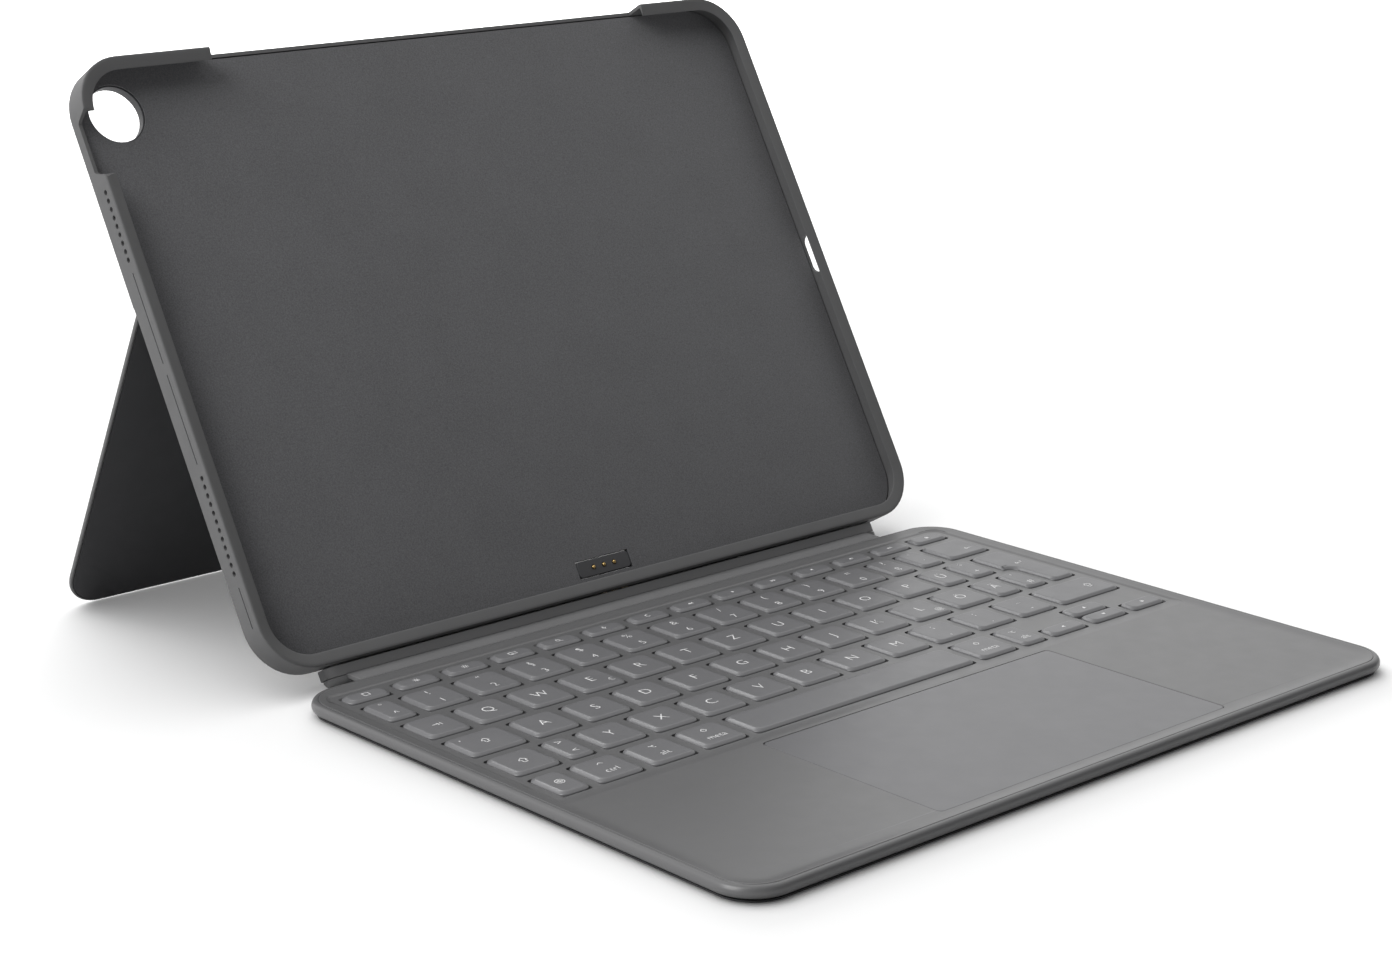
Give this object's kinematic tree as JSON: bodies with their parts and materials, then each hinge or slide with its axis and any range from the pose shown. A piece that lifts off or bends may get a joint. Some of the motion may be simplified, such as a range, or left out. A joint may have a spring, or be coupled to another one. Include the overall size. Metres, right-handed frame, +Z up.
{
  "type": "tablet keyboard case",
  "caption": "Protective tablet tray with a fold-out kickstand and a slim keyboard and trackpad deck hung on its lower edge by a magnetic dock bar and a folding flap.",
  "frame": {"origin": "middle of the footprint on the table, with the case open for typing", "axes": "+X along the long edge to the typist's right, +Y away from the typist, +Z up"},
  "size_m": [0.2502, 0.2994, 0.1645],
  "materials": {
    "soft_touch": "matte, fine grain",
    "charcoal": "matte",
    "lining": "short brushed nap",
    "hard_plastic": "matte",
    "deck_skin": "matte, fine grain",
    "key_plastic": "satin",
    "trackpad_surface": "smooth satin",
    "steel": "brushed",
    "aluminium": "rolled",
    "magnet": "plated",
    "gold_contact": "gold plated",
    "circuit_board": "satin",
    "film": "translucent film"
  },
  "bodies": {
    "tray": {"bumper_frame": "soft_touch", "back_shell": "hard_plastic", "microfibre_lining": "lining", "upper_back_cover": "soft_touch", "camera_ring": "hard_plastic", "contact_block": "hard_plastic", "contact_pins": "gold_contact", "edge_contacts": "gold_contact", "tray_magnet_strip": "magnet", "hinge_base_left": "steel", "hinge_base_right": "steel"},
    "volume_up": {"volume_up_button": "soft_touch"},
    "volume_down": {"volume_down_button": "soft_touch"},
    "kickstand": {"kickstand_outer_skin": "soft_touch", "kickstand_core": "aluminium", "kickstand_inner_skin": "charcoal", "hinge_leaf_left": "steel", "hinge_leaf_right": "steel", "hinge_pin_left": "steel", "hinge_pin_right": "steel"},
    "dock": {"dock_bar_cover": "soft_touch", "dock_top_plate": "steel", "dock_magnets": "magnet", "dock_contact_pins": "gold_contact"},
    "flap": {"hinge_flap": "soft_touch"},
    "deck": {"deck_top": "deck_skin", "bottom_skin": "charcoal", "base_plate": "aluminium", "light_guide": "film", "key_membrane": "film", "dome_sheet": "film", "controller_board": "circuit_board", "flex_cable": "film", "closure_magnet_left": "magnet", "closure_magnet_right": "magnet", "click_switch": "steel"},
    "trackpad": {"trackpad_glass": "trackpad_surface", "trackpad_board": "circuit_board"},
    "function_row_keys_body": {"function_row_keys": "key_plastic"},
    "number_row_keys_body": {"number_row_keys": "key_plastic"},
    "top_letter_keys_body": {"top_letter_keys": "key_plastic"},
    "home_letter_keys_body": {"home_letter_keys": "key_plastic"},
    "lower_letter_keys_body": {"lower_letter_keys": "key_plastic"},
    "backspace_key_body": {"backspace_key": "key_plastic"},
    "tab_key_body": {"tab_key": "key_plastic"},
    "enter_key_body": {"enter_key": "key_plastic"},
    "caps_lock_key_body": {"caps_lock_key": "key_plastic"},
    "left_shift_key_body": {"left_shift_key": "key_plastic"},
    "right_shift_key_body": {"right_shift_key": "key_plastic"},
    "globe_key_body": {"globe_key": "key_plastic"},
    "left_control_key_body": {"left_control_key": "key_plastic"},
    "left_option_key_body": {"left_option_key": "key_plastic"},
    "left_command_key_body": {"left_command_key": "key_plastic"},
    "space_bar_body": {"space_bar": "key_plastic"},
    "right_command_key_body": {"right_command_key": "key_plastic"},
    "right_option_key_body": {"right_option_key": "key_plastic"},
    "arrow_left_key_body": {"arrow_left_key": "key_plastic"},
    "arrow_up_key_body": {"arrow_up_key": "key_plastic"},
    "arrow_down_key_body": {"arrow_down_key": "key_plastic"},
    "arrow_right_key_body": {"arrow_right_key": "key_plastic"}
  },
  "joints": [
    {"name": "kickstand_hinge", "type": "hinge", "parent": "tray", "child": "kickstand", "pos_m": [0, 0.09889, 0.097], "axis": [1, 0, 0], "range_deg": [-56.5, 68]},
    {"name": "volume_up_press", "type": "slide", "parent": "tray", "child": "volume_up", "axis": [0, -0.5, -0.866], "range_m": [0, 0.0004], "stiffness_N_per_m": 800},
    {"name": "volume_down_press", "type": "slide", "parent": "tray", "child": "volume_down", "axis": [0, -0.5, -0.866], "range_m": [0, 0.0004], "stiffness_N_per_m": 800},
    {"name": "dock_release", "type": "slide", "parent": "tray", "child": "dock", "axis": [0, -1, 0], "range_m": [0, 0.06]},
    {"name": "flap_crease", "type": "hinge", "parent": "dock", "child": "flap", "pos_m": [0, 0.03562, 0.0027], "axis": [-1, 0, 0], "range_deg": [0, 80]},
    {"name": "deck_crease", "type": "hinge", "parent": "flap", "child": "deck", "pos_m": [0, 0.02977, 0.0027], "axis": [-1, 0, 0], "range_deg": [0, 40]},
    {"name": "trackpad_click", "type": "slide", "parent": "deck", "child": "trackpad", "axis": [0, 0, -1], "range_m": [0, 0.00035], "stiffness_N_per_m": 1500},
    {"name": "function_row_press", "type": "slide", "parent": "deck", "child": "function_row_keys_body", "axis": [0, 0, -1], "range_m": [0, 0.0009], "stiffness_N_per_m": 600},
    {"name": "number_row_press", "type": "slide", "parent": "deck", "child": "number_row_keys_body", "axis": [0, 0, -1], "range_m": [0, 0.0009], "stiffness_N_per_m": 600},
    {"name": "top_letter_row_press", "type": "slide", "parent": "deck", "child": "top_letter_keys_body", "axis": [0, 0, -1], "range_m": [0, 0.0009], "stiffness_N_per_m": 600},
    {"name": "home_letter_row_press", "type": "slide", "parent": "deck", "child": "home_letter_keys_body", "axis": [0, 0, -1], "range_m": [0, 0.0009], "stiffness_N_per_m": 600},
    {"name": "lower_letter_row_press", "type": "slide", "parent": "deck", "child": "lower_letter_keys_body", "axis": [0, 0, -1], "range_m": [0, 0.0009], "stiffness_N_per_m": 600},
    {"name": "backspace_press", "type": "slide", "parent": "deck", "child": "backspace_key_body", "axis": [0, 0, -1], "range_m": [0, 0.0009], "stiffness_N_per_m": 600},
    {"name": "tab_press", "type": "slide", "parent": "deck", "child": "tab_key_body", "axis": [0, 0, -1], "range_m": [0, 0.0009], "stiffness_N_per_m": 600},
    {"name": "enter_press", "type": "slide", "parent": "deck", "child": "enter_key_body", "axis": [0, 0, -1], "range_m": [0, 0.0009], "stiffness_N_per_m": 600},
    {"name": "caps_lock_press", "type": "slide", "parent": "deck", "child": "caps_lock_key_body", "axis": [0, 0, -1], "range_m": [0, 0.0009], "stiffness_N_per_m": 600},
    {"name": "left_shift_press", "type": "slide", "parent": "deck", "child": "left_shift_key_body", "axis": [0, 0, -1], "range_m": [0, 0.0009], "stiffness_N_per_m": 600},
    {"name": "right_shift_press", "type": "slide", "parent": "deck", "child": "right_shift_key_body", "axis": [0, 0, -1], "range_m": [0, 0.0009], "stiffness_N_per_m": 600},
    {"name": "globe_press", "type": "slide", "parent": "deck", "child": "globe_key_body", "axis": [0, 0, -1], "range_m": [0, 0.0009], "stiffness_N_per_m": 600},
    {"name": "left_control_press", "type": "slide", "parent": "deck", "child": "left_control_key_body", "axis": [0, 0, -1], "range_m": [0, 0.0009], "stiffness_N_per_m": 600},
    {"name": "left_option_press", "type": "slide", "parent": "deck", "child": "left_option_key_body", "axis": [0, 0, -1], "range_m": [0, 0.0009], "stiffness_N_per_m": 600},
    {"name": "left_command_press", "type": "slide", "parent": "deck", "child": "left_command_key_body", "axis": [0, 0, -1], "range_m": [0, 0.0009], "stiffness_N_per_m": 600},
    {"name": "space_bar_press", "type": "slide", "parent": "deck", "child": "space_bar_body", "axis": [0, 0, -1], "range_m": [0, 0.0009], "stiffness_N_per_m": 600},
    {"name": "right_command_press", "type": "slide", "parent": "deck", "child": "right_command_key_body", "axis": [0, 0, -1], "range_m": [0, 0.0009], "stiffness_N_per_m": 600},
    {"name": "right_option_press", "type": "slide", "parent": "deck", "child": "right_option_key_body", "axis": [0, 0, -1], "range_m": [0, 0.0009], "stiffness_N_per_m": 600},
    {"name": "arrow_left_press", "type": "slide", "parent": "deck", "child": "arrow_left_key_body", "axis": [0, 0, -1], "range_m": [0, 0.0009], "stiffness_N_per_m": 600},
    {"name": "arrow_up_press", "type": "slide", "parent": "deck", "child": "arrow_up_key_body", "axis": [0, 0, -1], "range_m": [0, 0.0009], "stiffness_N_per_m": 600},
    {"name": "arrow_down_press", "type": "slide", "parent": "deck", "child": "arrow_down_key_body", "axis": [0, 0, -1], "range_m": [0, 0.0009], "stiffness_N_per_m": 600},
    {"name": "arrow_right_press", "type": "slide", "parent": "deck", "child": "arrow_right_key_body", "axis": [0, 0, -1], "range_m": [0, 0.0009], "stiffness_N_per_m": 600}
  ]
}
